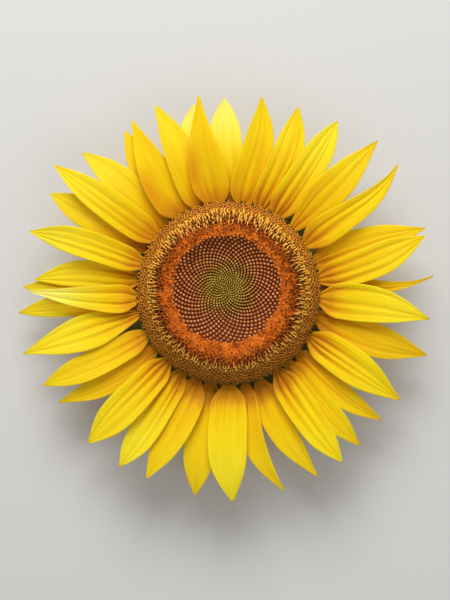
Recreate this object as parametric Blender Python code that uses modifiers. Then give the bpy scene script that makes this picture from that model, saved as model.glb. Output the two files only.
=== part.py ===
"""A sunflower head in full bloom, cut off just under its receptacle and lying on its back.

The green receptacle stands on its short cut stem. Its rim carries ray petals, with bracts below them, and
its bed carries the disc florets, in four rings: green buds, ripe buds, open florets and spent florets.
Metres, +Z up. The flower lies on z = 0, with the origin under the middle of its whole outline.
"""

import math

import bmesh
import bpy
from mathutils import Vector

MM = 0.001

# Heights above the surface and radii from the disc's axis.
GAP = 0.3 * MM
RIM_RADIUS = 44.0 * MM
DISC_RADIUS = 46.0 * MM
DISC_EDGE = 30.0 * MM
DISC_OVERHANG = 0.6 * MM
TURN_STEPS = 48

# The receptacle's rim, swelling back and cut stem, downwards, as (radius, height) in mm.
BACK = [(44, 28.5), (44, 22.5), (42.3, 20.6), (36, 17), (28, 13.4), (19, 10.4), (13.5, 8.2), (11.2, 5.6),
        (10.5, 2.4), (10.5, 0), (0, 0)]

# The floret bed and the florets' tops, as (radius, height) in mm from the middle outwards.
BED = [(0, 26.5), (14, 27.0), (26, 28.4), (34, 29.4), (40, 29.8), (43.2, 29.6)]
FLORET_TOPS = [(0, 30.9), (7, 31.3), (14, 32.5), (20, 34.3), (26, 36.6), (30, 38.9), (34, 39.6),
               (38, 38.9), (42, 36.4), (45, 33.2), (46, 31.4)]
RINGS = [("green_buds", 0, 14), ("ripe_buds", 14, 26), ("open_florets", 26, 34), ("spent_florets", 34, 46)]

# Petals. A petal's place in the layers gives its height at the base and how it leans on the way out.
PETAL_THICKNESS = 0.7 * MM
PETAL_ROWS = 9
PETAL_COLUMNS = 5
TIP_HALF_WIDTH = 0.4 * MM
FOOT_WIDTH = 0.42
NECK_PINCH = 0.17
EDGE_CUP = 0.5 * MM
FOOT_CLEARANCE = 0.22
LAYERS = {  # layer: (height at the base, rise along the petal, droop towards the tip, roll in degrees)
    "front": (28.0 * MM, 3.2 * MM, 2.6 * MM, 0.0),
    "lapped": (26.3 * MM, 1.6 * MM, 2.0 * MM, 9.0),
    "back": (24.6 * MM, 0.6 * MM, 2.4 * MM, 0.0),
    "deep": (23.3 * MM, 0.0 * MM, 2.6 * MM, 0.0),
    "sunk": (22.7 * MM, -3.0 * MM, 2.0 * MM, 0.0),
}
TIP_CURL = 1.6 * MM
CURL_TURNS = 5
CURL_PHASE = 40.0

# All petals arch together, so that they keep their distances: up from the rim and down towards the tips,
# with slow waves around the head, given as (height, turns around the head, phase in degrees).
ARCH = 6.0 * MM
ARCH_REACH = 104.0 * MM
ARCH_SPAN = 0.75
WAVES = [(1.8 * MM, 3, 35.0), (1.3 * MM, 7, 120.0)]

# One row for each petal, counter-clockwise from +X: azimuth of its base and of its tip in degrees, tip
# radius and width in mm, where it is widest (share of its length), fullness of its outer part, sideways
# bow in mm, how late that bow comes, how narrow its neck is from 0 to 1, and its layer.
PETALS = [
    (4.8, 5.4, 102.5, 10.5, 0.22, 0.62, -3.0, 1.8, 0, "back"),
    (10.3, 16.9, 101.5, 16.3, 0.52, 1.20, -2.4, 1.0, 0, "front"),
    (20.5, 18.9, 103.7, 16.5, 0.42, 1.05, 1.8, 0.9, 0, "back"),
    (33.3, 37.8, 106.5, 13.8, 0.30, 1.05, -4.1, 1.8, 0, "front"),
    (46.4, 46.1, 107.2, 17.5, 0.42, 1.05, -0.4, 1.0, 1, "lapped"),
    (59.6, 58.1, 102.8, 15.5, 0.42, 1.80, -1.0, 1.3, 0, "lapped"),
    (70.4, 69.7, 100.5, 15.3, 0.45, 1.50, -3.1, 1.2, 0, "lapped"),
    (82.0, 80.6, 100.5, 16.0, 0.38, 1.35, -2.8, 1.6, 0, "lapped"),
    (89.5, 91.4, 98.8, 16.2, 0.50, 1.70, 0.5, 1.0, 0, "back"),
    (98.0, 98.6, 100.7, 17.5, 0.34, 0.80, 2.1, 1.0, 0, "front"),
    (102.0, 100.5, 97.5, 15.0, 0.60, 1.90, 1.8, 1.0, 0, "deep"),
    (107.6, 111.2, 102.0, 15.5, 0.42, 1.25, -1.5, 1.6, 0, "lapped"),
    (120.5, 119.0, 100.0, 17.5, 0.36, 0.95, 1.8, 0.9, 0, "lapped"),
    (125.0, 122.4, 97.8, 15.0, 0.50, 1.25, 1.0, 1.0, 0, "deep"),
    (133.0, 135.7, 102.3, 15.0, 0.45, 1.50, -1.9, 1.3, 0, "back"),
    (141.7, 143.3, 108.0, 15.0, 0.40, 1.45, 0.3, 1.0, 0, "front"),
    (148.5, 150.3, 102.5, 15.5, 0.50, 1.60, 0.0, 1.0, 0, "back"),
    (160.0, 162.2, 104.0, 14.2, 0.50, 1.35, -1.8, 1.3, 0, "front"),
    (169.5, 175.3, 97.7, 13.8, 0.45, 1.30, -2.7, 1.3, 0, "back"),
    (175.5, 177.6, 103.8, 12.0, 0.50, 1.35, 0.0, 1.0, 0, "deep"),
    (182.2, 178.8, 99.5, 12.6, 0.25, 1.00, 1.3, 1.0, 0, "front"),
    (187.3, 184.7, 106.8, 11.5, 0.45, 1.80, -2.5, 1.3, 0, "sunk"),
    (191.5, 195.8, 107.0, 18.0, 0.45, 0.95, 0.1, 1.0, 1, "lapped"),
    (205.5, 205.8, 103.2, 14.0, 0.50, 1.45, 1.4, 1.0, 0, "lapped"),
    (215.8, 212.2, 100.7, 13.0, 0.40, 1.20, 3.1, 1.0, 0, "back"),
    (226.9, 226.4, 101.5, 17.0, 0.55, 1.35, 0.2, 1.0, 0, "front"),
    (238.3, 237.4, 101.5, 14.8, 0.55, 1.45, 0.5, 1.0, 0, "lapped"),
    (249.3, 245.7, 100.0, 16.3, 0.40, 1.35, 0.9, 0.9, 0, "lapped"),
    (258.3, 260.3, 101.5, 17.0, 0.50, 1.35, -0.6, 1.3, 0, "back"),
    (269.9, 271.0, 102.8, 19.6, 0.48, 1.30, -1.8, 1.3, 0, "front"),
    (280.0, 285.7, 101.2, 11.3, 0.40, 1.20, -5.7, 1.15, 0, "lapped"),
    (289.0, 296.1, 100.7, 14.2, 0.38, 1.15, -3.1, 1.1, 0, "back"),
    (302.6, 304.2, 100.0, 15.0, 0.42, 1.70, -1.2, 1.2, 0, "front"),
    (311.0, 311.0, 99.3, 13.5, 0.42, 1.50, -1.3, 1.0, 0, "lapped"),
    (320.3, 320.8, 99.0, 12.3, 0.35, 1.50, -2.7, 1.3, 0, "back"),
    (333.0, 328.5, 100.2, 17.8, 0.48, 0.95, 0.3, 1.0, 0, "front"),
    (346.5, 343.2, 103.7, 17.5, 0.45, 1.12, -1.6, 1.0, 0, "back"),
    (358.0, 353.3, 100.0, 18.3, 0.40, 1.10, 2.0, 1.2, 0, "front"),
]

# Bracts: one ring of equal leaves that lap each other around the head, as a fan does.
BRACT_COUNT = 17
BRACT_WIDTH = 20.0 * MM
BRACT_THICKNESS = 0.9 * MM
BRACT_ROLL = 7.0
BRACT_FIRST = 6.0
BRACT_ROWS = 7
BRACT_COLUMNS = 5
BRACT_FOOT_WIDTH = 0.55
BRACT_WIDEST = 0.3
BRACT_FULLNESS = 1.1
BRACT_LINE = [(35.5, 14.3), (41.0, 17.2), (46.0, 19.4), (52.0, 21.2), (58.0, 22.4), (64.0, 22.8)]


def colour_material(name, colour, roughness):
    material = bpy.data.materials.new(name)
    material.use_nodes = True
    shader = material.node_tree.nodes["Principled BSDF"]
    shader.inputs["Base Color"].default_value = (*colour, 1.0)
    shader.inputs["Roughness"].default_value = roughness
    shader.inputs["Metallic"].default_value = 0.0
    return material


def add_object(name, mesh, material):
    piece = bpy.data.objects.new(name, mesh)
    head.objects.link(piece)
    mesh.materials.append(material)
    mesh.shade_smooth()
    mesh.set_sharp_from_angle(angle=math.radians(40))
    return piece


def height_on(line, radius):
    """The height in metres at a radius in metres, on a list of (radius, height) in mm."""
    for (r0, z0), (r1, z1) in zip(line, line[1:]):
        if radius <= r1 * MM or (r1, z1) == line[-1]:
            share = (radius / MM - r0) / (r1 - r0)
            return (z0 + (z1 - z0) * share) * MM


def turned(name, outline, material):
    """A turned solid: outline is a list of (radius, height), down the outer side from the top."""
    mesh = bpy.data.meshes.new(name)
    points = [(radius, 0.0, height) for radius, height in outline]
    edges = [(i, i + 1) for i in range(len(points) - 1)]
    if points[0][0] > 0.0:  # a ring's outline closes on itself
        edges.append((len(points) - 1, 0))
    mesh.from_pydata(points, edges, [])
    piece = add_object(name, mesh, material)
    screw = piece.modifiers.new("Turn", "SCREW")
    screw.steps = TURN_STEPS
    screw.render_steps = TURN_STEPS
    screw.use_merge_vertices = True
    screw.merge_threshold = 0.00001
    screw.use_smooth_shade = True
    return piece


def make_receptacle(material):
    """Stem stub, swelling back, rim and floret bed: one grown piece."""
    outline = [(radius * MM, height * MM) for radius, height in BED + BACK]
    return turned("receptacle", outline, material)


def make_floret_ring(name, inner, outer, material):
    """One ring of florets as a closed cushion on the bed, clear of the next ring by the gap."""
    low = inner * MM + (GAP / 2 if inner else 0.0)
    high = outer * MM - (GAP / 2 if outer * MM < DISC_RADIUS else 0.0)
    radii = [low] + [r * MM for r, _ in FLORET_TOPS if low < r * MM < high] + [high]
    top = [(radius, height_on(FLORET_TOPS, radius)) for radius in radii]
    under = [r * MM for r, _ in BED if low < r * MM < high]
    bottom = [(r, height_on(BED, r) + GAP) for r in reversed([low] + under + [high])]
    if outer * MM >= DISC_RADIUS:
        bottom[0] = (DISC_RADIUS - DISC_OVERHANG, DISC_EDGE)
    return turned(name, top + bottom, material)


def half_width_share(share, widest, fullness, neck, foot=FOOT_WIDTH):
    """How wide a leaf is at this share of its length, as a part of its greatest width."""
    base = foot - NECK_PINCH * neck
    if share < widest:
        return base + (1 - base) * math.sin(math.pi / 2 * share / widest) ** (1 + neck)
    return math.cos(math.pi / 2 * ((share - widest) / (1 - widest)) ** fullness)


def arched(point):
    """The point raised by the arch and the waves that all petals share."""
    share = max(0.0, (point.xy.length - RIM_RADIUS) / (ARCH_REACH - RIM_RADIUS))
    turn = math.atan2(point.y, point.x)
    height = ARCH * math.sin(math.pi * ARCH_SPAN * share)
    for rise, turns, phase in WAVES:
        height += rise * share**2 * math.sin(turns * turn + math.radians(phase))
    return point + Vector((0, 0, height))


def leaf_sheet(name, rows, columns, place, thickness, material):
    """A thin leaf: a grid whose points place(share along, -1 to 1 across) puts, given its thickness."""
    shape = bmesh.new()
    bmesh.ops.create_grid(shape, x_segments=rows - 1, y_segments=columns - 1, size=1.0)
    for vertex in shape.verts:
        along = (vertex.co.x + 1) / 2
        vertex.co = place(along, vertex.co.y) - Vector((0, 0, thickness / 2))
    lifted = bmesh.ops.extrude_face_region(shape, geom=shape.faces[:], use_keep_orig=True)["geom"]
    raised = [part for part in lifted if isinstance(part, bmesh.types.BMVert)]
    bmesh.ops.translate(shape, verts=raised, vec=(0, 0, thickness))
    bmesh.ops.recalc_face_normals(shape, faces=shape.faces[:])
    mesh = bpy.data.meshes.new(name)
    shape.to_mesh(mesh)
    shape.free()
    return add_object(name, mesh, material)


def make_petal(name, row, material):
    """A ray petal: its sections stand upright, square to the line from its base to its tip."""
    base_turn, tip_turn, reach, width, widest, fullness, bow, late, neck, layer = row
    base_height, rise, droop, roll = LAYERS[layer]
    root = Vector((math.cos(math.radians(base_turn)), math.sin(math.radians(base_turn)), 0))
    tip = Vector((math.cos(math.radians(tip_turn)), math.sin(math.radians(tip_turn)), 0)) * reach * MM
    heading = (tip - root * RIM_RADIUS).normalized()
    slant = abs(heading.cross(root).z)
    start = root * (RIM_RADIUS + GAP + slant * width * MM * FOOT_CLEARANCE)
    side = Vector((0, 0, 1)).cross(heading)
    curl = TIP_CURL * math.sin(math.radians(CURL_TURNS * tip_turn + CURL_PHASE))

    def place(along, across):
        share = half_width_share(along, widest, fullness, neck)
        offset = across * max(width * MM / 2 * share, TIP_HALF_WIDTH)
        sway = bow * MM * math.sin(math.pi * along**late)
        height = base_height + rise * along - droop * along**2 + curl * along**4
        height += math.tan(math.radians(roll)) * offset + EDGE_CUP * across**2 * share
        return arched(start.lerp(tip, along) + side * (sway + offset) + Vector((0, 0, height)))

    return leaf_sheet(name, PETAL_ROWS, PETAL_COLUMNS, place, PETAL_THICKNESS, material)


def make_bract(name, turn, material):
    """A green bract: broad at the foot, drawn out to a point, following the head's back outwards."""
    out = Vector((math.cos(turn), math.sin(turn), 0))
    side = Vector((0, 0, 1)).cross(out)
    first, last = BRACT_LINE[0][0] * MM, BRACT_LINE[-1][0] * MM

    def place(along, across):
        radius = first + (last - first) * along
        share = half_width_share(along, BRACT_WIDEST, BRACT_FULLNESS, 0, foot=BRACT_FOOT_WIDTH)
        offset = across * max(BRACT_WIDTH / 2 * share, TIP_HALF_WIDTH)
        height = height_on(BRACT_LINE, radius) + math.tan(math.radians(BRACT_ROLL)) * offset
        return out * radius + side * offset + Vector((0, 0, height))

    return leaf_sheet(name, BRACT_ROWS, BRACT_COLUMNS, place, BRACT_THICKNESS, material)


def centre_outline(pieces, holder):
    """Moves the holder so that the middle of the whole outline stands over the origin."""
    bpy.context.view_layer.update()
    depsgraph = bpy.context.evaluated_depsgraph_get()
    corners = []
    for piece in pieces:
        evaluated = piece.evaluated_get(depsgraph)
        corners += [evaluated.matrix_world @ Vector(corner) for corner in evaluated.bound_box]
    for axis in (0, 1):
        values = [corner[axis] for corner in corners]
        holder.location[axis] = -(min(values) + max(values)) / 2


for old in list(bpy.data.objects):
    bpy.data.objects.remove(old, do_unlink=True)

head = bpy.data.collections.new("sunflower_head")
bpy.context.scene.collection.children.link(head)
holder = bpy.data.objects.new("head_place", None)
head.objects.link(holder)

green = colour_material("receptacle_green", (0.16, 0.24, 0.05), 0.6)
bract_green = colour_material("bract_green", (0.12, 0.20, 0.04), 0.6)
yellow = colour_material("petal_yellow", (0.95, 0.62, 0.01), 0.5)
ring_colours = {
    "green_buds": (0.30, 0.27, 0.05),
    "ripe_buds": (0.34, 0.14, 0.06),
    "open_florets": (0.62, 0.17, 0.02),
    "spent_florets": (0.35, 0.17, 0.03),
}

pieces = [make_receptacle(green)]
for ring, inner, outer in RINGS:
    pieces.append(make_floret_ring(ring, inner, outer, colour_material(ring, ring_colours[ring], 0.8)))
for number, row in enumerate(PETALS, 1):
    pieces.append(make_petal(f"petal_{number:02d}", row, yellow))
for number in range(BRACT_COUNT):
    turn = math.radians(BRACT_FIRST) + math.tau * number / BRACT_COUNT
    pieces.append(make_bract(f"bract_{number + 1:02d}", turn, bract_green))
for piece in pieces:
    piece.parent = holder
centre_outline(pieces, holder)
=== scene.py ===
"""A sunflower head in full bloom, cut off just under its receptacle and lying on its back.

Each petal and bract follows the middle of its own solid in the frame, drawn finer, with folds, a curling
margin and a thin edge. The disc florets stand one by one on a golden-angle spiral over the rings' solids.
Metres, +Z up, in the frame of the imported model.
"""

import math
import random

import bmesh
import bpy
from mathutils import Matrix, Vector, noise


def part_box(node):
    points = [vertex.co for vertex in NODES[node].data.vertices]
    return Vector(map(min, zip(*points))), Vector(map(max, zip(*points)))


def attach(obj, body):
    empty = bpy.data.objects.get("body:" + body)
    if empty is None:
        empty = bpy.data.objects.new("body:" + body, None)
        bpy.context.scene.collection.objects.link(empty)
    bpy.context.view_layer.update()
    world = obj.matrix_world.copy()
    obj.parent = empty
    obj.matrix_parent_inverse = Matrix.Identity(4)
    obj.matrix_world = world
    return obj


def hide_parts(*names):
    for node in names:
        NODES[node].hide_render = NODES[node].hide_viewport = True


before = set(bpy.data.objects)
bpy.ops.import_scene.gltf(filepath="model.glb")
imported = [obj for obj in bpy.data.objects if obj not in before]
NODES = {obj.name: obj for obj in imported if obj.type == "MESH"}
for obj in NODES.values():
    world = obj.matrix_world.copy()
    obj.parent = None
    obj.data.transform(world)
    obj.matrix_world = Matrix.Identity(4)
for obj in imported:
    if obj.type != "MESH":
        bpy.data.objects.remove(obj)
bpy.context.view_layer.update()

MM = 0.001

receptacle_low, receptacle_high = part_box("receptacle")
rim_low, rim_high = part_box("spent_florets")
AXIS = ((receptacle_low + receptacle_high) / 2).xy
DISC_RADIUS = (rim_high.x - rim_low.x) / 2
RINGS = ("green_buds", "ripe_buds", "open_florets", "spent_florets")

BRACT_COUNT = 17
PETAL_STEPS = 64
PETAL_ACROSS = 36
PETAL_BODY = 0.42 * MM
PETAL_RIM = 0.16 * MM
PETAL_CREASE = 0.85 * MM
PETAL_SWELL = 0.36 * MM
PETAL_VEIN = 0.05 * MM
FOOT_WIDENING = 0.5
FOOT_END = 0.72

# One row for each petal, from petal_01 on: gold (how deep its yellow is, partly painted shade: deeper on
# petals that lie in the shade of others), pale (how strong the painted highlight on its outer part is),
# keel (how strong its folds are), foot (how strongly its base is coloured: its own orange and painted shade,
# strongest on the petals under the disc's shadow), folds (how many) and curl (how far its counter-clockwise
# margin rises, in mm).
PETAL_LOOKS = [
    (0.60, 0.05, 0.4, 0.9, 2, 0.0), (0.25, 0.15, 0.8, 0.6, 3, 0.3), (0.30, 0.10, 0.6, 0.5, 2, -0.3),
    (0.30, 0.10, 1.0, 0.5, 2, 0.3), (0.25, 0.10, 0.5, 0.4, 2, -0.5), (0.15, 0.45, 0.9, 0.5, 3, 0.3),
    (0.30, 0.20, 0.7, 0.6, 3, -0.3), (0.35, 0.05, 0.5, 0.5, 2, 0.4), (0.10, 0.80, 0.4, 0.4, 3, 0.0),
    (0.40, 0.05, 0.3, 0.6, 2, 1.2), (0.10, 0.80, 0.3, 0.5, 2, 0.0), (0.35, 0.25, 0.3, 0.5, 2, 0.3),
    (0.50, 0.05, 0.3, 0.7, 2, 1.2), (0.40, 0.10, 0.3, 0.6, 2, 0.0), (0.30, 0.50, 0.3, 0.6, 2, 0.0),
    (0.20, 0.35, 0.6, 0.6, 3, 0.4), (0.35, 0.30, 0.4, 1.0, 2, 0.0), (0.10, 0.50, 0.6, 0.5, 3, 0.3),
    (0.15, 0.30, 0.6, 0.5, 3, -0.3), (0.25, 0.30, 0.3, 0.6, 2, 0.0), (0.10, 0.90, 0.7, 0.5, 2, 0.3),
    (0.30, 0.40, 0.3, 0.9, 2, 0.0), (0.15, 0.40, 0.8, 0.5, 3, -0.4), (0.35, 0.10, 0.5, 0.5, 2, 0.3),
    (0.50, 0.05, 0.4, 0.6, 2, 0.0), (0.20, 0.20, 0.9, 0.5, 3, 0.4), (0.15, 0.45, 1.0, 0.7, 3, 0.3),
    (0.35, 0.10, 0.5, 0.9, 2, 0.6), (0.30, 0.10, 0.2, 1.0, 2, 0.0), (0.00, 0.40, 0.2, 0.8, 3, 0.3),
    (0.45, 0.05, 0.3, 1.0, 1, 0.4), (0.35, 0.05, 0.4, 0.9, 2, 0.3), (0.10, 0.10, 1.0, 0.8, 3, 0.4),
    (0.30, 0.05, 0.4, 0.8, 2, 0.0), (0.50, 0.05, 0.6, 0.7, 2, 0.0), (0.15, 0.10, 1.0, 0.4, 3, 0.4),
    (0.60, 0.05, 0.6, 0.7, 2, 0.0), (0.05, 0.35, 0.7, 0.5, 3, 0.3),
]

# Petals with painted shade in orange along one margin: how strong, on the counter-clockwise side if positive.
PETAL_MARGIN_SHADE = {10: 1.0, 13: 0.9, 17: 0.4, 22: 0.8, 25: 0.4, 31: -0.4, 35: 0.4, 8: -0.3, 5: 0.4}


# ---------------------------------------------------------------- materials

class Value:
    """A number that varies over a surface, worked on with the usual signs."""

    def __init__(self, paint, socket):
        self.paint = paint
        self.socket = socket

    def maths(self, operation, *numbers):
        node = self.paint.node("ShaderNodeMath", {"operation": operation}, dict(enumerate(numbers)))
        return Value(self.paint, node.outputs[0])

    def __add__(self, other):
        return self.maths("ADD", self, other)

    def __sub__(self, other):
        return self.maths("SUBTRACT", self, other)

    def __rsub__(self, other):
        return self.maths("SUBTRACT", other, self)

    def __mul__(self, other):
        return self.maths("MULTIPLY", self, other)

    __radd__ = __add__
    __rmul__ = __mul__


class Paint:
    """One material: its nodes and the sockets of its shader."""

    def __init__(self, name, **plain):
        self.material = bpy.data.materials.new(name)
        self.material.use_nodes = True
        self.tree = self.material.node_tree
        self.shader = self.tree.nodes["Principled BSDF"]
        for socket, value in plain.items():
            self.shader.inputs[socket.replace("_", " ")].default_value = value

    def node(self, kind, settings=None, sockets=None):
        """A node of this kind: its settings first, then the values or links of its sockets."""
        made = self.tree.nodes.new(kind)
        for setting, value in (settings or {}).items():
            if setting == "stops":
                for _ in value[2:]:
                    made.color_ramp.elements.new(0.5)
                for element, (position, colour) in zip(made.color_ramp.elements, value):
                    element.position = position
                    element.color = (*colour, 1.0)
            else:
                setattr(made, setting, value)
        for socket, value in (sockets or {}).items():
            self.feed(made.inputs[socket], value)
        return made

    def feed(self, socket, value):
        """Link a varying value to a socket, or set a plain one on it."""
        if isinstance(value, Value):
            value = value.socket
        if isinstance(value, bpy.types.NodeSocket):
            self.tree.links.new(value, socket)
        elif isinstance(value, tuple) and len(value) == 3 and socket.type == "RGBA":
            socket.default_value = (*value, 1.0)
        else:
            socket.default_value = value

    def place(self):
        return self.node("ShaderNodeTexCoord").outputs["Object"]

    def stored(self, name):
        """The three numbers that a piece's points hold under this name."""
        held = self.node("ShaderNodeAttribute", {"attribute_name": name}).outputs["Vector"]
        split = self.node("ShaderNodeSeparateXYZ", sockets={"Vector": held})
        return [Value(self, output) for output in split.outputs]

    def noise(self, vector, scale, detail=2.0, roughness=0.5):
        sockets = {"Vector": vector, "Scale": scale, "Detail": detail, "Roughness": roughness}
        return Value(self, self.node("ShaderNodeTexNoise", sockets=sockets).outputs["Fac"])

    def point(self, x, y, z=0.0):
        return self.node("ShaderNodeCombineXYZ", sockets={"X": x, "Y": y, "Z": z}).outputs[0]

    def step(self, value, low, high):
        """0 below low, 1 above high, and a smooth rise between."""
        sockets = {"Value": value, "From Min": low, "From Max": high}
        made = self.node("ShaderNodeMapRange", {"interpolation_type": "SMOOTHSTEP"}, sockets)
        return Value(self, made.outputs["Result"])

    def mix(self, share, first, second):
        sockets = {0: share, 6: first, 7: second}
        return self.node("ShaderNodeMix", {"data_type": "RGBA", "clamp_factor": True}, sockets).outputs[2]

    def ramp(self, value, stops):
        return self.node("ShaderNodeValToRGB", {"stops": stops}, {"Fac": value}).outputs["Color"]

    def finish(self, colour, roughness=None, bump=None, strength=0.5, depth=0.2 * MM):
        self.feed(self.shader.inputs["Base Color"], colour)
        if roughness is not None:
            self.feed(self.shader.inputs["Roughness"], roughness)
        if bump is not None:
            sockets = {"Height": bump, "Strength": strength, "Distance": depth}
            made = self.node("ShaderNodeBump", sockets=sockets)
            self.feed(self.shader.inputs["Normal"], made.outputs["Normal"])
        return self.material


def petal_finish():
    """Yellow petal: orange at the foot with painted shade over it, a painted highlight on the outer part,
    painted shade in the folds and along some margins, with fine veins along.
    """
    paint = Paint("petal_yellow", Specular_IOR_Level=0.08, Subsurface_Weight=0.4,
                  Subsurface_Radius=(1.0, 0.55, 0.08), Subsurface_Scale=1.2 * MM)
    along, across, phase = paint.stored("leaf_place")
    fold, gold, pale = paint.stored("leaf_look")
    foot, rim, margin_shade = paint.stored("leaf_edge")
    vein_place = paint.point(along * 2.0 + phase * 7.0, across * 11.0, phase * 31.0)
    veins = paint.noise(vein_place, 1.0, 3.0, 0.65)
    fine = paint.noise(paint.point(along * 4.0, across * 36.0, phase * 17.0), 1.0, 2.0)
    cloud = paint.noise(paint.point(along * 2.5, across * 1.6, phase * 53.0), 1.0, 2.0)
    # partly painted shade: gold runs deeper on petals that lie in the shade of others; the cloud noise is the
    # petal's own uneven tone
    golden = gold + (cloud - 0.5) * 0.9 + (1.0 - paint.step(along, 0.05, 0.8)) * 0.22
    colour = paint.mix(golden, (1.0, 0.70, 0.002), (0.84, 0.43, 0.001))
    # painted highlight: a paler, patchy yellow over the outer part, stronger on petals with a high pale value
    painted_highlight = (pale + 0.1) * paint.step(along, 0.2, 0.8) * paint.step(veins, 0.3, 0.6)
    colour = paint.mix(painted_highlight, colour, (1.0, 0.88, 0.06))
    streak = (paint.step(veins, 0.48, 0.66) + paint.step(fine, 0.5, 0.75) * 0.5) * 0.34
    colour = paint.mix(streak, colour, (0.92, 0.52, 0.003))
    # painted highlight: the palest petals get a whiter yellow towards the tip
    strong_painted_highlight = (pale - 0.55) * paint.step(along, 0.45, 0.95) * 1.8
    colour = paint.mix(strong_painted_highlight, colour, (1.0, 0.93, 0.26))
    # partly the petal's own orange foot, partly painted shade: foot is higher on petals whose feet lie in shade
    orange = (1.0 - paint.step(along, 0.0, 0.42)) * foot + (fine - 0.5) * 0.3
    colour = paint.mix(orange * 0.6, colour, (0.84, 0.31, 0.003))
    base = (1.0 - paint.step(along - (veins - 0.5) * 0.12, 0.08, 0.24)) * 0.42
    colour = paint.mix(base, colour, (0.80, 0.24, 0.004))
    inner_half, inner_third = 1.0 - paint.step(along, 0.0, 0.7), 1.0 - paint.step(along, 0.05, 0.35)
    # painted shade: darker orange in the creases, strongest towards the foot
    colour = paint.mix(fold * (0.15 + inner_half * 0.7 + inner_third * 0.6), colour, (0.52, 0.17, 0.002))
    # painted shade: orange along one margin, from the petal's margin value
    colour = paint.mix(margin_shade * (0.5 + veins * 0.5), colour, (0.74, 0.27, 0.004))
    # painted shade: dark brown at the foot, reaching further up where foot is high, under the disc's shadow
    brown = (1.0 - paint.step(along - foot * 0.14 - (veins - 0.5) * 0.25, 0.0, 0.12)) * foot
    colour = paint.mix(brown * 0.55, colour, (0.36, 0.10, 0.008))
    colour = paint.mix(rim * 0.2, colour, (1.0, 0.80, 0.05))
    roughness = 0.44 + veins * 0.2
    return paint.finish(colour, roughness, veins * 0.55 + fine * 0.45, 0.8, 0.45 * MM)


def bract_finish():
    """Green bract: dull olive with pale veins and spots, lighter along its folds, and a dry brown tip."""
    paint = Paint("bract_green", Specular_IOR_Level=0.3, Sheen_Weight=0.15, Sheen_Roughness=0.5)
    along, across, phase = paint.stored("leaf_place")
    fold = paint.stored("leaf_look")[0]
    veins = paint.noise(paint.point(along * 4.0 + phase * 9.0, across * 9.0, phase * 23.0), 1.0, 3.0, 0.6)
    spots = paint.noise(paint.place(), 900.0, 2.0)
    colour = paint.mix(veins, (0.14, 0.17, 0.028), (0.31, 0.34, 0.085))
    colour = paint.mix(paint.step(spots, 0.5, 0.7) * 0.4, colour, (0.36, 0.38, 0.14))
    colour = paint.mix(fold * 0.6, colour, (0.32, 0.37, 0.12))
    colour = paint.mix(paint.step(along, 0.86, 1.0) * 0.7, colour, (0.20, 0.12, 0.04))
    return paint.finish(colour, 0.55 + spots * 0.2, veins * 0.6 + spots * 0.4, 0.6, 0.3 * MM)


def receptacle_finish():
    """Green receptacle: ribbed, blotched skin, a dark bed under the florets and a pale pith at the cut."""
    paint = Paint("receptacle_green", Specular_IOR_Level=0.3)
    where = paint.place()
    height = Value(paint, paint.node("ShaderNodeSeparateXYZ", sockets={"Vector": where}).outputs["Z"])
    blotch = paint.noise(where, 120.0, 3.0, 0.6)
    grain = paint.noise(where, 1500.0, 2.0)
    colour = paint.mix(blotch, (0.10, 0.17, 0.03), (0.24, 0.32, 0.07))
    colour = paint.mix(paint.step(grain, 0.55, 0.75) * 0.5, colour, (0.34, 0.38, 0.14))
    bed, rib, _ = paint.stored("skin_share")
    colour = paint.mix(rib * 0.55, colour, (0.38, 0.44, 0.14))
    colour = paint.mix(bed, colour, (0.035, 0.006, 0.004))
    cut = 1.0 - paint.step(height, 0.12 * MM, 0.25 * MM)
    colour = paint.mix(cut, colour, paint.mix(grain, (0.62, 0.60, 0.42), (0.80, 0.78, 0.62)))
    return paint.finish(colour, 0.6, grain * 0.4 + blotch * 0.6, 0.6, 0.4 * MM)


def floret_finish(name, rough, young, old):
    """Floret skin: colours from foot to top by the floret's age, its tone and a fine grain. The tone is random,
    and for ripe buds, pollen tufts, styles and spent florets it also holds painted light and shade.
    """
    paint = Paint(name, Specular_IOR_Level=0.12)
    rise, tone, age = paint.stored("floret_look")
    grain = paint.noise(paint.place(), 2400.0, 2.0, 0.6)
    level = rise + (grain - 0.5) * 0.22 + (tone - 0.5) * 0.12
    colour = paint.mix(age, paint.ramp(level, young), paint.ramp(level, old))
    shade = paint.node("ShaderNodeHueSaturation", sockets={"Color": colour, "Value": 0.78 + tone * 0.44})
    return paint.finish(shade.outputs["Color"], rough, grain, 0.5, 0.15 * MM)


# ---------------------------------------------------------------- petals and bracts

def between(points, share):
    """The point at this share of the smooth line through the points."""
    spot = min(max(share, 0.0), 1.0) * (len(points) - 1)
    first = min(int(spot), len(points) - 2)
    part = spot - first
    here, there = points[first], points[first + 1]
    before = points[first - 1] if first else here * 2 - there
    after = points[first + 2] if first + 2 < len(points) else there * 2 - here
    straight = here * 2 + (there - before) * part
    bend = (before * 2 - here * 5 + there * 4 - after) * part**2
    return (straight + bend + (here * 3 - before - there * 3 + after) * part**3) / 2


def middle_net(node, rows, columns):
    """The middle surface of a leaf's solid: its sections from the foot outwards, each a row of points."""
    shape = bmesh.new()
    shape.from_mesh(node.data)
    bmesh.ops.remove_doubles(shape, verts=shape.verts, dist=0.01 * MM)
    bmesh.ops.recalc_face_normals(shape, faces=shape.faces)
    walls = [face for face in shape.faces if abs(face.normal.z) < 0.02]
    foot = min(walls, key=lambda face: (face.calc_center_median().xy - AXIS).length)
    heading = -foot.normal.xy.normalized()
    side = Vector((-heading.y, heading.x))
    corners = sorted((vertex.co.copy() for vertex in shape.verts), key=lambda co: co.xy.dot(heading))
    shape.free()
    net = []
    for row in range(rows):
        section = corners[row * columns * 2:(row + 1) * columns * 2]
        section.sort(key=lambda co: co.xy.dot(side))
        net.append([(section[i] + section[i + 1]) / 2 for i in range(0, columns * 2, 2)])
    return net


def smooth_share(value, low, high):
    """0 below low, 1 above high, and a smooth rise between."""
    part = min(max((value - low) / (high - low), 0.0), 1.0)
    return part * part * (3 - 2 * part)


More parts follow.
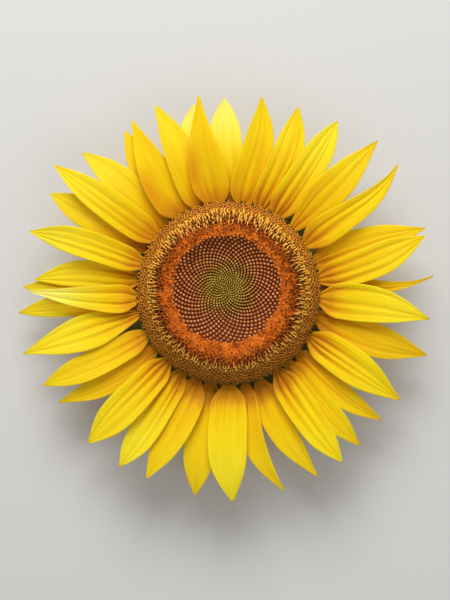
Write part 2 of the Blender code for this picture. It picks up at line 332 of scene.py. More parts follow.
class Folds:
    """The folds along one leaf: creases that fan out from its foot, short finer ones, and swelling between.

    Each line is its place across, its drift, width and depth, and where along the leaf it starts and ends.
    """

    def __init__(self, dice, count, strength):
        self.strength = strength
        self.mains = []
        for i in range(count):
            middle = (i + 1) / (count + 1) * 2 - 1
            self.mains.append((middle * 0.95 + dice.uniform(-0.16, 0.16), dice.uniform(-0.15, 0.15),
                               dice.uniform(0.07, 0.12), dice.uniform(0.6, 1.0), 0.0, dice.uniform(0.7, 1.3)))
        self.lines = list(self.mains)
        for _ in range(count + 3):
            start = dice.uniform(-0.2, 0.55)
            place, drift = dice.uniform(-0.85, 0.85), dice.uniform(-0.15, 0.15)
            width, depth = dice.uniform(0.045, 0.07), dice.uniform(0.2, 0.5)
            self.lines.append((place, drift, width, depth, start, start + dice.uniform(0.25, 0.5)))

    def depth(self, along, across):
        """How deep the point lies in a crease, from 0 to 1."""
        total = 0.0
        for place, drift, width, depth, start, end in self.lines:
            distance = (across - place - drift * along) / (width * (1.2 - 0.3 * along))
            begun = smooth_share(along, start - 0.1, start + 0.1)
            reach = begun * (1 - smooth_share(along, end - 0.25, end + 0.1))
            total += depth * reach * math.exp(-distance * distance)
        return min(total, 1.0) * self.strength

    def swell(self, along, across):
        """The rounded ridges between the creases, from -1 to 1."""
        nearest = min(abs(across - line[0] - line[1] * along) for line in self.mains)
        return math.cos(math.pi * min(nearest * (len(self.mains) + 1) / 2, 1.0)) * -self.strength


def wider_foot(net):
    """The net with its sections near the foot made wider, and the very end of the foot rounded in."""
    widened = []
    for row, section in enumerate(net):
        share = 1 + FOOT_WIDENING * max(1 - row / (len(net) - 1) / 0.5, 0.0)**2 if row else FOOT_END
        middle = (sum(section, Vector()) / len(section)).xy
        widened.append([Vector((*(middle + (point.xy - middle) * share), point.z)) for point in section])
    return widened


def leaf_piece(name, net, steps, across_steps, shape_of, material):
    """A thin two-sided leaf over the net.

    shape_of(along, across) gives the lift, half the thickness, and the numbers that the finish reads.
    """
    shape = bmesh.new()
    place_layer = shape.verts.layers.float_vector.new("leaf_place")
    look_layer = shape.verts.layers.float_vector.new("leaf_look")
    edge_layer = shape.verts.layers.float_vector.new("leaf_edge")
    bmesh.ops.create_grid(shape, x_segments=steps, y_segments=across_steps, size=1.0)
    sections = {}
    for vertex in shape.verts:
        along, across = (vertex.co.x + 1) / 2, vertex.co.y
        key = round(along * steps)
        if key not in sections:
            sections[key] = [between(list(column), along) for column in zip(*net)]
        lift, half, phase, look, edge = shape_of(along, across)
        vertex.co = between(sections[key], (across + 1) / 2) + lift - Vector((0, 0, half))
        vertex[place_layer] = (along, across, phase)
        vertex[look_layer] = look
        vertex[edge_layer] = edge
    upper = bmesh.ops.extrude_face_region(shape, geom=shape.faces[:], use_keep_orig=True)["geom"]
    for part in upper:
        if isinstance(part, bmesh.types.BMVert):
            along, across, _ = part[place_layer]
            part.co.z += shape_of(along, across)[1] * 2
    bmesh.ops.recalc_face_normals(shape, faces=shape.faces[:])
    return add_piece(name, shape, material)


def add_piece(name, shape, material):
    """The bmesh as a smooth-shaded object in the scene."""
    mesh = bpy.data.meshes.new(name)
    shape.to_mesh(mesh)
    shape.free()
    mesh.materials.append(material)
    mesh.shade_smooth()
    piece = bpy.data.objects.new(name, mesh)
    bpy.context.scene.collection.objects.link(piece)
    return piece


def ride_as(piece, slot, *nodes):
    """The piece rides on the one body, in place of these nodes. slot is not used."""
    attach(piece, "root")
    if nodes:
        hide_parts(*nodes)


def make_petal(number, material):
    """One ray petal: creased lengthwise, with a waving margin that may curl up."""
    gold, pale, keel, foot, count, curl = PETAL_LOOKS[number - 1]
    node = f"petal_{number:02d}"
    dice = random.Random(100 + number)
    folds = Folds(dice, count, keel)
    phase = dice.random()
    ripple = dice.uniform(0, math.tau)
    lean = dice.choice((-1, 1))
    margin_shade = PETAL_MARGIN_SHADE.get(number, 0.0)

    def shape_of(along, across):
        middle = 1 - across * across
        crease = folds.depth(along, across)
        fade = smooth_share(along, 0.0, 0.12) * (1 - 0.75 * along)
        lift = -PETAL_CREASE * crease * (1 - 0.65 * along) * smooth_share(along, -0.05, 0.1)
        lift += PETAL_SWELL * folds.swell(along, across) * (1 - 0.6 * along) * middle**0.5
        lift += PETAL_VEIN * math.sin(across * 17 + ripple + along * 2) * middle
        lift += curl * MM * max(across, 0.0)**2 * fade
        wave = math.sin(along * 9 + ripple) * 0.28 + math.sin(along * 17 + ripple * 2) * 0.12
        lift += MM * wave * abs(across)**3 * lean * (1 if across > 0 else -0.6)
        half = (PETAL_RIM + (PETAL_BODY - PETAL_RIM) * middle**0.5) / 2
        rim = smooth_share(abs(across), 0.90, 1.0)
        # painted shade along one margin, strongest about a third of the way out from the foot
        shade = smooth_share(across * math.copysign(1, margin_shade), 0.05, 0.75) * smooth_share(along, 0.0, 0.3)
        shade *= abs(margin_shade) * (1 - smooth_share(along, 0.35, 0.68))
        return (Vector((0, 0, lift)), half, phase, (min(crease, 1.0), gold, pale), (foot, rim, shade))

    net = wider_foot(middle_net(NODES[node], 9, 5))
    piece = leaf_piece(f"ray_{node}", net, PETAL_STEPS, PETAL_ACROSS, shape_of, material)
    ride_as(piece, "petal", node)


def make_bract(number, material, second_row=False):
    """One green bract, or its smaller neighbour in the second row, turned half a step and a little lower."""
    node = f"bract_{number:02d}"
    dice = random.Random(500 + number + 50 * second_row)
    folds = Folds(dice, 3, 0.8)
    phase = dice.random()

    def shape_of(along, across):
        middle = 1 - across * across
        crease = folds.depth(along, across)
        lift = 0.35 * MM * crease * (1 - 0.5 * along)
        lift += 0.3 * MM * math.sin(along * 11 + phase * 6) * across**2
        half = (0.18 * MM + 0.42 * MM * middle**0.5) / 2
        return (Vector((0, 0, lift)), half, phase, (crease, 0.0, 0.0), (0.0, 0.0, 0.0))

    net = middle_net(NODES[node], 7, 2)
    if not second_row:
        ride_as(leaf_piece(f"green_{node}", net, 40, 16, shape_of, material), "bract", node)
        return
    foot = (net[0][0] + net[0][1]) / 2
    middle = Vector((*AXIS, 0.0))
    turn = Matrix.Rotation(math.pi / BRACT_COUNT, 4, "Z")
    drop = Vector((0, 0, 1.3 * MM))
    net = [[middle + turn @ (foot + (point - foot) * 0.72 - middle) - drop for point in section]
           for section in net]
    ride_as(leaf_piece(f"green_second_{node}", net, 32, 14, shape_of, material), "bract")


# ---------------------------------------------------------------- disc florets

GOLDEN_ANGLE = math.radians(-137.50776)
SPIRAL_SHIFT = Vector((-1.5, 4.4)) * MM
EYE_RADIUS = 13 * MM
FORM_LENGTH = 5.0 * MM
BUD_SPACING = 1.48 * MM
KNOB_SPACING = 1.86 * MM
SCALE_COUNT = 170
TUFT_FORMS, STYLE_FORMS, CURL_FORMS = 5, 4, 6


def ring_profile():
    """(radius, height) of the rings' tops, read off their solids from the middle outwards."""
    heights = []
    down = Vector((0, 0, -1))
    for step in range(46):
        radius = (step + 0.5) * MM
        start = Vector((AXIS.x + radius, AXIS.y + 0.3 * MM, 0.1))
        hits = [NODES[ring].ray_cast(start, down) for ring in RINGS]
        found = [place.z for hit, place, _, _ in hits if hit]
        if found:
            heights.append((radius, max(found)))
    return heights


PROFILE = ring_profile()


def top_at(radius):
    """The height of the disc's surface at this radius."""
    if radius <= PROFILE[0][0]:
        return PROFILE[0][1]
    for (r0, z0), (r1, z1) in zip(PROFILE, PROFILE[1:]):
        if radius <= r1:
            return z0 + (z1 - z0) * (radius - r0) / (r1 - r0)
    return PROFILE[-1][1]


def spacing(radius):
    """How far apart florets stand at this radius: close in the green eye, widest before the orange ring."""
    return min(1.0 * MM + 0.045 * radius, 1.98 * MM) - 0.46 * MM * smooth_share(radius, 36 * MM, 40 * MM)


def spiral():
    """Every floret's (radius, angle), from the middle outwards."""
    area, number = 0.3 * MM * MM, 0
    while True:
        radius = math.sqrt(area / math.pi)
        if radius > DISC_RADIUS + 0.1 * MM:
            return
        yield radius, (number * GOLDEN_ANGLE) % math.tau
        area += math.sqrt(3) / 2 * spacing(radius) ** 2
        number += 1


def wander(angle, seed):
    """A slow, closed wobble around the head, from -1 to 1."""
    return noise.noise(Vector((math.cos(angle) * 2.2, math.sin(angle) * 2.2, seed)))


def grow_tube(shape, rise_layer, start, sides, radius, rise, swing, steps):
    """A bent tube: each step is (length, bend in degrees, radius, rise). It bends towards swing."""
    ring = bmesh.ops.create_circle(shape, cap_ends=True, segments=sides, radius=radius)["verts"]
    for vertex in ring:
        vertex[rise_layer] = rise
    placed = Matrix.Translation(start) @ Matrix.Rotation(swing, 4, "Z")
    bmesh.ops.transform(shape, matrix=placed, verts=ring)
    edges = [edge for edge in shape.edges if edge.verts[0] in ring and edge.verts[1] in ring]
    for length, bend, wide, rise in steps:
        out = bmesh.ops.extrude_edge_only(shape, edges=edges)["geom"]
        ring = [part for part in out if isinstance(part, bmesh.types.BMVert)]
        edges = [part for part in out if isinstance(part, bmesh.types.BMEdge)]
        edges = [edge for edge in edges if edge.verts[0] in ring and edge.verts[1] in ring]
        after = placed @ (Matrix.Rotation(math.radians(bend), 4, "Y") @ Matrix.Translation((0, 0, length)))
        move = after @ Matrix.Scale(wide / radius, 4) @ placed.inverted()
        bmesh.ops.transform(shape, matrix=move, verts=ring)
        placed, radius = after, wide
        for vertex in ring:
            vertex[rise_layer] = rise
    bmesh.ops.contextual_create(shape, geom=edges)
    return ring


def finish_form(shape):
    """The floret form as a mesh of its own, for plant to copy."""
    bmesh.ops.recalc_face_normals(shape, faces=shape.faces)
    mesh = bpy.data.meshes.new("floret_form")
    shape.to_mesh(mesh)
    shape.free()
    return mesh


def bud_form(sides, rings, star=0.0):
    """A closed bud with its top at z = 0, fluted by star. Each ring, foot first, is (radius, height, rise)."""
    shape = bmesh.new()
    rise_layer = shape.verts.layers.float.new("rise")
    steps = [(high[1] - low[1], 0, high[0], high[2]) for low, high in zip(rings, rings[1:])]
    radius, height, rise = rings[0]
    last = grow_tube(shape, rise_layer, (0, 0, height), sides, radius, rise, 0.0, steps)
    for vertex in shape.verts:
        turn = math.atan2(vertex.co.y, vertex.co.x)
        vertex.co.xy *= 1 + star * math.cos(turn * sides / 2) * smooth_share(vertex[rise_layer], 0.3, 0.9)
    cap = next(face for face in shape.faces if all(vertex in last for vertex in face.verts))
    top = bmesh.ops.poke(shape, faces=[cap])["verts"][0]
    top.co.z = 0.0
    top[rise_layer] = 1.0
    return finish_form(shape)


def curl_form(dice):
    """A spent floret: a short toothed tube with two stigma arms that curl outwards and back."""
    shape = bmesh.new()
    rise_layer = shape.verts.layers.float.new("rise")
    tube = [(3.6 * MM, 0, 0.66 * MM, 0.4), (0.4 * MM, 0, 0.30 * MM, 0.6)]
    grow_tube(shape, rise_layer, (0, 0, -5 * MM), 4, 0.80 * MM, 0.0, 0.0, tube)
    first = dice.uniform(0, math.tau)
    for turn in (first, first + math.pi + dice.uniform(-0.5, 0.5)):
        length = dice.uniform(0.36, 0.48) * MM
        bends = [dice.uniform(42, 60) for _ in range(4)]
        arm = [(0.8 * MM, 10, 0.27 * MM, 0.65)]
        arm += [(length, bend, 0.27 * MM - 0.02 * MM * i, 0.75 + 0.08 * i) for i, bend in enumerate(bends)]
        grow_tube(shape, rise_layer, (0, 0, -1.1 * MM), 4, 0.2 * MM, 0.4, turn, arm)
    return finish_form(shape)


def cup_form():
    """An open floret's mouth: a tube whose rim folds in to a deep dark throat."""
    shape = bmesh.new()
    rise_layer = shape.verts.layers.float.new("rise")
    tube = [(3.0 * MM, 0, 0.86 * MM, 0.5), (0.8 * MM, 0, 0.80 * MM, 0.9), (0.20 * MM, 0, 0.68 * MM, 1.0),
            (-0.10 * MM, 0, 0.63 * MM, 0.1), (-1.6 * MM, 0, 0.50 * MM, 0.0)]
    grow_tube(shape, rise_layer, (0, 0, -4 * MM), 8, 0.80 * MM, 0.0, 0.0, tube)
    return finish_form(shape)


def column_form(dice):
    """An open floret's style: a dark foot, a paler shaft that bends outwards, and two short curled lobes."""
    shape = bmesh.new()
    rise_layer = shape.verts.layers.float.new("rise")
    bends = [dice.uniform(12, 22) for _ in range(4)]
    shaft = [(2.2 * MM, bends[0], 0.28 * MM, 0.15), (1.2 * MM, bends[1], 0.25 * MM, 0.45),
             (1.2 * MM, bends[2], 0.24 * MM, 0.7), (1.2 * MM, bends[3], 0.25 * MM, 0.9)]
    last = grow_tube(shape, rise_layer, (0, 0, -5 * MM), 5, 0.34 * MM, 0.0, 0.0, shaft)
    fork = sum((vertex.co for vertex in last), Vector()) / len(last)
    for turn in (0.7 + dice.uniform(-0.3, 0.3), -0.7 + dice.uniform(-0.3, 0.3)):
        lobe = [(0.4 * MM, 70, 0.22 * MM, 0.95), (0.3 * MM, 45, 0.13 * MM, 1.0)]
        grow_tube(shape, rise_layer, fork, 4, 0.22 * MM, 0.9, turn, lobe)
    return finish_form(shape)


def tuft_form(dice):
    """An open floret's top: anthers split into a ragged, pollen-laden tuft."""
    shape = bmesh.new()
    rise_layer = shape.verts.layers.float.new("rise")
    tube = [(3.6 * MM, 0, 0.62 * MM, 0.3), (0.8 * MM, 0, 0.62 * MM, 0.7), (0.4 * MM, 0, 0.50 * MM, 0.9),
            (0.2 * MM, 0, 0.22 * MM, 1.0)]
    grow_tube(shape, rise_layer, (0, 0, -5 * MM), 7, 0.50 * MM, 0.0, 0.0, tube)
    for vertex in shape.verts:
        if vertex[rise_layer] > 0.5:
            vertex.co += Vector([dice.uniform(-0.2, 0.2) * MM for _ in range(3)])
    return finish_form(shape)


def plant(name, forms, places, material, slot, *nodes):
    """One piece of many florets: places holds (form number, matrix, tone, age). The forms are used up."""
    shape = bmesh.new()
    looks = []
    rises = []
    for form in forms:
        values = [0.0] * len(form.vertices)
        form.attributes["rise"].data.foreach_get("value", values)
        rises.append(values)
    for number, matrix, tone, age in places:
        floret = forms[number].copy()
        floret.transform(matrix)
        shape.from_mesh(floret)
        bpy.data.meshes.remove(floret)
        for rise in rises[number]:
            looks += (rise, tone, age)
    piece = add_piece(name, shape, material)
    stored = piece.data.attributes.new("floret_look", "FLOAT_VECTOR", "POINT")
    stored.data.foreach_set("vector", looks)
    ride_as(piece, slot, *nodes)
    for form in forms:
        bpy.data.meshes.remove(form)


def on_disc(radius, angle):
    """A spiral place as a step from the head's axis: the spiral's eye stands off the axis."""
    shift = SPIRAL_SHIFT * (1 - 0.68 * radius / DISC_RADIUS)
    return shift + Vector((math.cos(angle), math.sin(angle))) * radius


def make_mat(name, inner_at, outer_at, look_at, depth, bump, material, slot, rows=16):
    """The felt between florets: a closed, bumpy ring that lies this deep under their tops."""
    shape = bmesh.new()
    look_layer = shape.verts.layers.float_vector.new("floret_look")
    turn_layer = shape.verts.layers.float.new("turn")

    def place_ring(ring, row):
        for vertex in ring:
            angle = vertex[turn_layer]
            inner, outer = inner_at(angle), outer_at(angle)
            upper = row < rows
            share = row / (rows - 1) if upper else float(row == rows)
            place = on_disc(inner + (outer - inner) * share, angle)
            bumps = noise.noise(Vector((place.x, place.y, 0.0)) / (0.9 * MM))
            bumps += noise.noise(Vector((place.x, place.y, 0.1)) / (2.6 * MM)) * 0.8
            height = top_at(place.length) - (depth - bumps * bump if upper else 3.5 * MM)
            vertex.co = (AXIS.x + place.x, AXIS.y + place.y, height)
            vertex[look_layer] = look_at(inner + (outer - inner) * share, bumps)

    first = bmesh.ops.create_circle(shape, segments=300, radius=1.0)["verts"]
    for vertex in first:
        vertex[turn_layer] = math.atan2(vertex.co.y, vertex.co.x)
    edges = shape.edges[:]
    place_ring(first, 0)
    # Across the top, down and back under it, and up to the first ring again, which closes the mat.
    for row in [*range(1, rows + 2), 0]:
        out = bmesh.ops.extrude_edge_only(shape, edges=edges)["geom"]
        ring = {part for part in out if isinstance(part, bmesh.types.BMVert)}
        edges = [part for part in out if isinstance(part, bmesh.types.BMEdge) and ring.issuperset(part.verts)]
        place_ring(ring, row)
    bmesh.ops.remove_doubles(shape, verts=shape.verts, dist=0.001 * MM)
    bmesh.ops.recalc_face_normals(shape, faces=shape.faces)
    ride_as(add_piece(name, shape, material), slot)


def stand(radius, angle, dice, length=FORM_LENGTH, long_way=1.0, swing=0.0, spin=None, tip=0.0, loose=0.06,
          sink=0.0, size=1.0):
    """The matrix that stands a floret form on the disc, leaning with the slope of the ring's top.

    long_way stretches it outwards, swing turns that stretch, spin turns the form first, tip leans it outwards,
    sink lowers it and loose shakes all of this a little.
    """
    out = on_disc(radius, angle)
    distance = out.length
    slope = math.atan2(top_at(distance + MM) - top_at(max(distance - MM, 0.0)), 2 * MM)
    lean = tip - slope * 0.7 + dice.uniform(-loose, loose)
    height = top_at(distance) - sink + dice.uniform(-0.12, 0.12) * MM
    if spin is None:
        spin = dice.uniform(0, math.tau)
    matrix = Matrix.Translation((AXIS.x + out.x, AXIS.y + out.y, height))
    matrix @= Matrix.Rotation(math.atan2(out.y, out.x), 4, "Z") @ Matrix.Rotation(lean, 4, "Y")
    matrix @= Matrix.Rotation(swing + dice.uniform(-loose, loose), 4, "Z")
    matrix @= Matrix.Diagonal((size * long_way, size, length / FORM_LENGTH, 1.0))
    return matrix @ Matrix.Rotation(spin, 4, "Z")


def inner_edge(angle):
    """Where the ripe buds end and the orange ring of open florets begins."""
    lean = 0.45 * math.sin(angle) - 0.3 * math.cos(angle)
    return (26.9 + lean + 1.1 * wander(angle, 3.0) + 0.7 * wander(angle * 3, 5.0)) * MM


def outer_edge(angle):
    """Where the orange ring ends and the crown of styles begins."""
    lean = -0.9 * math.sin(angle) - 0.35 * math.cos(angle)
    return (32.2 + lean + 1.0 * wander(angle, 7.0)) * MM


def crown_edge(angle):
    """Where the crown of styles ends and only spent florets follow."""
    return (38.0 + 1.3 * math.sin(angle)) * MM


def set_bud(groups, dice, radius, angle, tone, ripeness):
    """A closed bud: long and narrow in the green eye, a round knob outside it."""
    if radius < EYE_RADIUS:
        swing = math.radians(34) * smooth_share(radius, 2 * MM, 9 * MM)
        matrix = stand(radius, angle, dice, long_way=1.7 - 0.7 * ripeness, swing=swing, spin=0.0,
                       size=spacing(radius) / BUD_SPACING)
        groups["green"].append((0, matrix, tone, ripeness))
        return
    # painted shade: ripe buds near the top of the disc, on the slope that faces away from the key light, are
    # darker
    tone -= 0.5 * max(math.sin(angle - 0.4), 0.0) * smooth_share(radius, 15 * MM, 24 * MM)
    matrix = stand(radius, angle, dice, size=spacing(radius) / KNOB_SPACING)
    groups["ripe"].append((0, matrix, tone, ripeness))


def set_open_floret(groups, dice, radius, angle, tone):
    """An open floret: a handful of pollen tufts, and for some a dark throat or a pale grain."""
    for _ in range(5):
        shift = dice.uniform(-1.0, 1.0) * MM
        matrix = stand(radius + shift, angle + dice.uniform(-1.0, 1.0) * MM / radius, dice, loose=0.35,
                       sink=dice.uniform(-0.15, 0.35) * MM, size=dice.uniform(0.35, 0.75))
        form = dice.randrange(TUFT_FORMS)
        # painted light and shade: the pollen tufts are lighter towards the top of the head and darker towards
        # the bottom
        groups["open"].append((form, matrix, dice.random() + 0.4 * math.sin(angle) - 0.1, 0.0))
    share = smooth_share(radius, inner_edge(angle) + 1.5 * MM, outer_edge(angle))
    if dice.random() < 0.3 + 0.4 * share:
        matrix = stand(radius, angle, dice, sink=-0.35 * MM, size=0.48 + 0.2 * share,
                       long_way=1.3 + 0.5 * share, spin=0.0)
        groups["throat"].append((0, matrix, tone, 0.0))
    if dice.random() < 0.16:
        matrix = stand(radius + 0.6 * MM, angle, dice, sink=-0.25 * MM, size=dice.uniform(0.14, 0.24))
        groups["grain"].append((0, matrix, tone, 0.0))


def set_crown_floret(groups, dice, radius, angle, tone, lit, front):
    """A floret between the orange ring and the spent ones: a long throat, fewer tufts and mostly a style."""
    share = (radius - outer_edge(angle)) / (crown_edge(angle) - outer_edge(angle))
    if dice.random() < 0.74:
        matrix = stand(radius - 0.3 * MM, angle, dice, sink=-0.35 * MM, size=0.92, long_way=1.9, spin=0.0)
        groups["throat"].append((0, matrix, tone, smooth_share(share, 0.3, 0.75)))
    for _ in range(3):
        if dice.random() < 1.0 - 3.2 * share:
            back, aside = dice.uniform(0.6, 1.3) * MM, dice.uniform(0.6, 1.3) * MM
            matrix = stand(radius - back, angle + aside / radius, dice, loose=0.3, sink=0.25 * MM,
                           size=dice.uniform(0.4, 0.65))
            groups["open"].append((dice.randrange(TUFT_FORMS), matrix, dice.random(), 0.0))
    if dice.random() < 0.6 + 0.6 * share:
        matrix = stand(radius - 0.4 * MM, angle, dice, tip=0.14 + 0.1 * front, loose=0.2, spin=0.0,
                       sink=(-1.5 - 0.5 * front) * MM, size=dice.uniform(0.85, 1.1),
                       length=(dice.uniform(5.2, 7.0) + 0.8 * front) * MM)
        age = share * (1 - 0.8 * front)
        # the style's tone is lit, painted light and shade, made lighter at the front
        groups["style"].append((dice.randrange(STYLE_FORMS), matrix, lit + 0.3 * front, age))


def set_spent_floret(groups, dice, radius, angle, lit):
    """A spent floret: the nearer the rim, the shorter it is and the further it leans out."""
    share = smooth_share(radius, 36 * MM, 45 * MM)
    rim = smooth_share(radius, 43.5 * MM, 46.5 * MM)
    matrix = stand(radius, angle, dice, loose=0.3, tip=0.1 + 0.3 * share + 0.6 * rim, sink=1.4 * MM * rim,
                   size=dice.uniform(0.68, 0.9), length=FORM_LENGTH * (1 - 0.3 * share))
    # the spent floret's tone is lit, painted light and shade
    groups["spent"].append((dice.randrange(CURL_FORMS), matrix, lit, share))


def set_scales(groups, dice):
    """The chaff scales round the rim, in two uneven rows."""
    for i in range(SCALE_COUNT):
        row = dice.randrange(2)
        angle = (i + dice.uniform(-0.8, 0.8)) * math.tau / SCALE_COUNT
        out = DISC_RADIUS + (0.5 * row + dice.uniform(-0.1, 0.3)) * MM
        sink = (1.6 + 1.7 * row + dice.uniform(-0.3, 0.5)) * MM
        matrix = stand(out, angle, dice, tip=0.35 + 0.25 * row, spin=0.0, loose=0.2, sink=sink, long_way=0.35,
                       size=dice.uniform(1.0, 1.9), length=dice.uniform(4.2, 5.6) * MM)
        groups["scale"].append((0, matrix, dice.random(), 1.0))


def set_florets():
    """Where every floret stands, by its kind, from the green eye to the edge."""
    dice = random.Random(11)
    kinds = ("green", "ripe", "open", "spent", "style", "throat", "grain", "scale")
    groups = {kind: [] for kind in kinds}
    for radius, angle in spiral():
        ripeness = min(smooth_share(radius, 5 * MM, 19 * MM) + dice.uniform(-0.12, 0.12), 1.0)
        tone = dice.random()
        front = max(-math.sin(angle), 0.0)
        # painted light and shade: lit is lighter towards the top of the head, where the key light comes from,
        # and darker at the front
        lit = 0.5 * tone + 0.25 + 0.42 * math.sin(angle) - 0.22 * front
        if radius < max(EYE_RADIUS, inner_edge(angle)):
            set_bud(groups, dice, radius, angle, tone, ripeness)
        elif radius < outer_edge(angle):
            set_open_floret(groups, dice, radius, angle, tone)
        elif radius < crown_edge(angle):
            set_crown_floret(groups, dice, radius, angle, tone, lit, front)
        if radius > crown_edge(angle) + 0.7 * MM:
            set_spent_floret(groups, dice, radius, angle, lit)
    set_scales(groups, dice)
    return groups


# ---------------------------------------------------------------- receptacle

def make_receptacle(material):
    """The ribbed receptacle and stem stub: rings at the radii of their solid, closed by the bed and the cut."""
    solid = NODES["receptacle"]
    rings = []
    for step in range(60):
        height = 0.1 * MM + step * 0.5 * MM
        start = Vector((AXIS.x + 0.2, AXIS.y + 0.3 * MM, height))
        hit, place, _, _ = solid.ray_cast(start, Vector((-1, 0, 0)))
        if hit:
            rings.append(((place.xy - AXIS).length, height))
    for step in range(22):
        radius = (44 - 2 * step) * MM
        start = Vector((AXIS.x + radius, AXIS.y + 0.3 * MM, 0.1))
        hit, place, _, _ = solid.ray_cast(start, Vector((0, 0, -1)))
        if hit:
            rings.append((radius, place.z))
    shape = bmesh.new()
    rise_layer = shape.verts.layers.float.new("rise")
    skin_layer = shape.verts.layers.float_vector.new("skin_share")
    steps = [(high[1] - low[1], 0, high[0], 0.0) for low, high in zip(rings, rings[1:])]
    radius, height = rings[0]
    grow_tube(shape, rise_layer, (*AXIS, height), 144, radius, 0.0, 0.0, steps)
    for vertex in shape.verts:
        out = vertex.co.xy - AXIS
        angle = math.atan2(out.y, out.x)
        ribs = 0.32 * math.cos(17 * angle) + 0.16 * math.cos(34 * angle + 1.0) + 0.4 * wander(angle * 9, 2.0)
        share = smooth_share(vertex.co.z, 0.0, 1.5 * MM) * (1 - smooth_share(vertex.co.z, 22 * MM, 26 * MM))
        vertex.co.xy = AXIS + out * (1 + ribs * MM * share / max(out.length, MM))
        inside = 1 - smooth_share(out.length, 43.5 * MM, 44.5 * MM)
        bed = smooth_share(vertex.co.z, 25.5 * MM, 26.5 * MM) * inside
        vertex[skin_layer] = (bed, smooth_share(ribs, 0.1, 0.45) * share, 0.0)
    bmesh.ops.recalc_face_normals(shape, faces=shape.faces)
    piece = add_piece("ribbed_receptacle", shape, material)
    piece.data.set_sharp_from_angle(angle=math.radians(50))
    ride_as(piece, "receptacle", "receptacle")


def make_hairs(material):
    """Short pale hairs off the stem stub and the receptacle's back. They need its solid, so they come first."""
    solid = NODES["receptacle"]
    dice = random.Random(21)
    places = []
    for _ in range(900):
        angle, height = dice.uniform(0, math.tau), dice.uniform(0.6, 21.0) * MM
        out = Vector((math.cos(angle), math.sin(angle), 0.0))
        hit, place, normal, _ = solid.ray_cast(Vector((*AXIS, height)) + out * 0.2, -out)
        if not hit:
            continue
        lean = Vector([dice.uniform(-0.35, 0.35) for _ in range(3)])
        turn = (normal + lean).to_track_quat("Z", "Y").to_matrix().to_4x4()
        size = Matrix.Diagonal((1.0, 1.0, dice.uniform(0.6, 1.2), 1.0))
        matrix = Matrix.Translation(place) @ turn @ size @ Matrix.Translation((0, 0, 1.1 * MM))
        places.append((0, matrix, dice.random(), 0.0))
    rings = [(0.09 * MM, -1.4 * MM, 0.0), (0.06 * MM, -0.7 * MM, 0.5), (0.03 * MM, -0.1 * MM, 0.9)]
    hair = bud_form(4, rings)
    plant("back_hairs", [hair], places, material, "receptacle")


# ---------------------------------------------------------------- build

petal_material = petal_finish()
for number in range(1, len(PETAL_LOOKS) + 1):
    make_petal(number, petal_material)
bract_material = bract_finish()
for number in range(1, BRACT_COUNT + 1):
    make_bract(number, bract_material)
    make_bract(number, bract_material, second_row=True)

hair_stops = [(0.0, (0.34, 0.40, 0.16)), (1.0, (0.74, 0.76, 0.58))]
make_hairs(floret_finish("hair_pale", 0.6, hair_stops, hair_stops))
make_receptacle(receptacle_finish())

bud_paint = floret_finish(
    "bud_skin", 0.6,
    [(0.0, (0.030, 0.016, 0.002)), (0.42, (0.13, 0.072, 0.006)), (0.75, (0.37, 0.225, 0.024)),
     (1.0, (0.54, 0.35, 0.052))],
    [(0.0, (0.10, 0.012, 0.003)), (0.42, (0.22, 0.032, 0.006)), (0.75, (0.48, 0.140, 0.030)),
     (1.0, (0.62, 0.25, 0.075))])
pollen_stops = [(0.0, (0.12, 0.014, 0.002)), (0.35, (0.44, 0.082, 0.006)), (0.75, (0.76, 0.19, 0.012)),
                (1.0, (0.92, 0.29, 0.028))]
tuft_paint = floret_finish("pollen_orange", 0.85, pollen_stops, pollen_stops)
throat_paint = floret_finish(
    "throat_maroon", 0.6,
    [(0.0, (0.016, 0.002, 0.002)), (0.4, (0.05, 0.007, 0.003)), (0.8, (0.58, 0.125, 0.008)),
     (1.0, (0.74, 0.19, 0.014))],
    [(0.0, (0.016, 0.002, 0.002)), (0.4, (0.04, 0.006, 0.003)), (0.8, (0.34, 0.085, 0.008)),
     (1.0, (0.56, 0.175, 0.016))])
style_paint = floret_finish(
    "style_cream", 0.5,
    [(0.0, (0.10, 0.014, 0.004)), (0.25, (0.38, 0.11, 0.012)), (0.65, (0.86, 0.38, 0.045)),
     (1.0, (1.0, 0.60, 0.14))],
    [(0.0, (0.08, 0.014, 0.004)), (0.25, (0.40, 0.13, 0.010)), (0.65, (0.92, 0.45, 0.025)),
     (1.0, (1.0, 0.60, 0.060))])
spent_paint = floret_finish(
    "stigma_gold", 0.55,
    [(0.0, (0.10, 0.018, 0.003)), (0.35, (0.34, 0.10, 0.008)), (0.68, (0.78, 0.34, 0.024)),
     (1.0, (1.0, 0.58, 0.065))],
    [(0.0, (0.09, 0.016, 0.003)), (0.35, (0.30, 0.085, 0.008)), (0.68, (0.70, 0.28, 0.024)),
     (1.0, (0.96, 0.50, 0.06))])
scale_stops = [(0.0, (0.30, 0.28, 0.05)), (0.5, (0.38, 0.25, 0.04)), (0.85, (0.38, 0.18, 0.03)),
               (1.0, (0.30, 0.11, 0.02))]
scale_paint = floret_finish("chaff_brown", 0.6, scale_stops, scale_stops)
grain_stops = [(0.0, (0.7, 0.30, 0.06)), (0.6, (0.95, 0.74, 0.40))]
grain_paint = floret_finish("pollen_pale", 0.6, grain_stops, grain_stops)

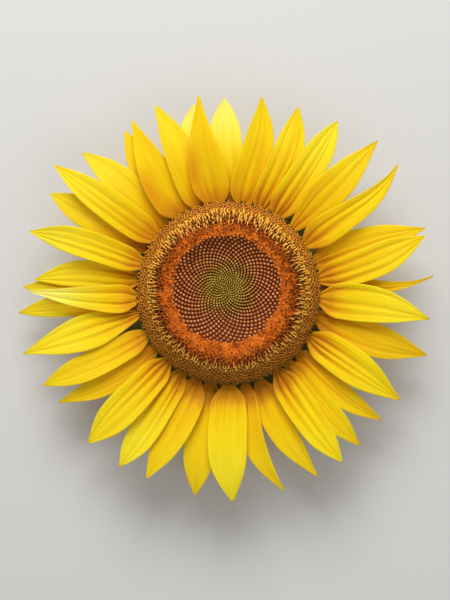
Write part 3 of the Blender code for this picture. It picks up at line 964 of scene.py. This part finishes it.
groups = set_florets()
form_dice = random.Random(5)
bud = bud_form(6, [(0.62 * MM, -5 * MM, 0.0), (0.62 * MM, -1.6 * MM, 0.15), (0.54 * MM, -0.7 * MM, 0.5),
                   (0.36 * MM, -0.20 * MM, 0.85)])
knob = bud_form(8, [(0.88 * MM, -5 * MM, 0.0), (0.86 * MM, -2.0 * MM, 0.1), (0.76 * MM, -1.1 * MM, 0.35),
                    (0.66 * MM, -0.42 * MM, 0.78), (0.38 * MM, -0.10 * MM, 0.97)], 0.08)
scale = bud_form(6, [(0.5 * MM, -5 * MM, 0.0), (0.95 * MM, -3.2 * MM, 0.35), (0.62 * MM, -1.4 * MM, 0.7),
                     (0.16 * MM, -0.3 * MM, 0.95)])
grain = bud_form(5, [(0.8 * MM, -2 * MM, 0.0), (1.0 * MM, -1.0 * MM, 0.6), (0.6 * MM, -0.3 * MM, 0.9)])
plant("green_bud_cluster", [bud], groups["green"], bud_paint, "green_bud", "green_buds")
plant("ripe_bud_cluster", [knob], groups["ripe"], bud_paint, "ripe_bud", "ripe_buds")
plant("open_floret_tufts", [tuft_form(form_dice) for _ in range(TUFT_FORMS)], groups["open"], tuft_paint,
      "open_floret", "open_florets")
plant("open_floret_throats", [cup_form()], groups["throat"], throat_paint, "open_floret")
plant("rim_chaff_scales", [scale], groups["scale"], scale_paint, "spent_floret")
plant("pale_pollen_grains", [grain], groups["grain"], grain_paint, "open_floret")
make_mat("pollen_mat", lambda angle: inner_edge(angle) - 0.3 * MM, lambda angle: outer_edge(angle) + 3.6 * MM,
         lambda radius, bumps: (0.44 + 0.4 * bumps - 0.4 * smooth_share(radius, 33 * MM, 34.6 * MM), 0.5, 0.0),
         0.62 * MM, 0.35 * MM, tuft_paint, "open_floret")
make_mat("bud_bed", lambda angle: 0.4 * MM, lambda angle: inner_edge(angle) + 0.5 * MM,
         lambda radius, bumps: (0.16 + 0.1 * bumps, 0.4, smooth_share(radius, 5 * MM, 19 * MM)),
         1.3 * MM, 0.06 * MM, bud_paint, "ripe_bud", rows=30)
make_mat("spent_bed", lambda angle: outer_edge(angle) + 3.2 * MM, lambda angle: DISC_RADIUS - 1.2 * MM,
         lambda radius, bumps: (0.25 + 0.15 * bumps, 0.5, 0.5), 1.1 * MM, 0.3 * MM, spent_paint, "spent_floret")
plant("open_floret_styles", [column_form(form_dice) for _ in range(STYLE_FORMS)], groups["style"], style_paint,
      "spent_floret")
plant("spent_floret_cluster", [curl_form(form_dice) for _ in range(CURL_FORMS)], groups["spent"], spent_paint,
      "spent_floret", "spent_florets")


# ---------------------------------------------------------------- stage, lights and camera

floor_shape = bmesh.new()
bmesh.ops.create_grid(floor_shape, x_segments=1, y_segments=1, size=3.0)
floor_paint = Paint("floor", Roughness=0.9, Base_Color=(0.66, 0.65, 0.63, 1.0))
floor = add_piece("floor", floor_shape, floor_paint.material)

world = bpy.data.worlds.new("studio")
bpy.context.scene.world = world
world.use_nodes = True
background = world.node_tree.nodes["Background"]
background.inputs["Color"].default_value = (1.0, 1.0, 1.0, 1.0)
background.inputs["Strength"].default_value = 0.33

PETAL_PLANE = 0.030
VIEW_HEIGHT = 0.300
VIEW_CENTRE = (0.0002, -0.0007)


def add_light(name, place, size, power):
    """A soft round lamp that faces the head."""
    light = bpy.data.lights.new(name, "AREA")
    light.shape = "DISK"
    light.size = size
    light.energy = power
    lamp = bpy.data.objects.new(name, light)
    bpy.context.scene.collection.objects.link(lamp)
    lamp.location = place
    towards = Vector((0.0, 0.0, PETAL_PLANE)) - Vector(place)
    lamp.rotation_euler = towards.to_track_quat("-Z", "Y").to_euler()


add_light("key_light", (-0.1, 0.85, 0.80), 0.8, 13.0)
add_light("fill_light", (0.3, -0.5, 1.1), 0.9, 2.2)

camera_data = bpy.data.cameras.new("camera")
camera_data.lens = 100.0
camera_data.sensor_width = 36.0
camera = bpy.data.objects.new("camera", camera_data)
bpy.context.scene.collection.objects.link(camera)
distance = VIEW_HEIGHT * camera_data.lens / camera_data.sensor_width
camera.location = (*VIEW_CENTRE, PETAL_PLANE + distance)
bpy.context.scene.camera = camera
bpy.context.scene.view_settings.view_transform = "Standard"
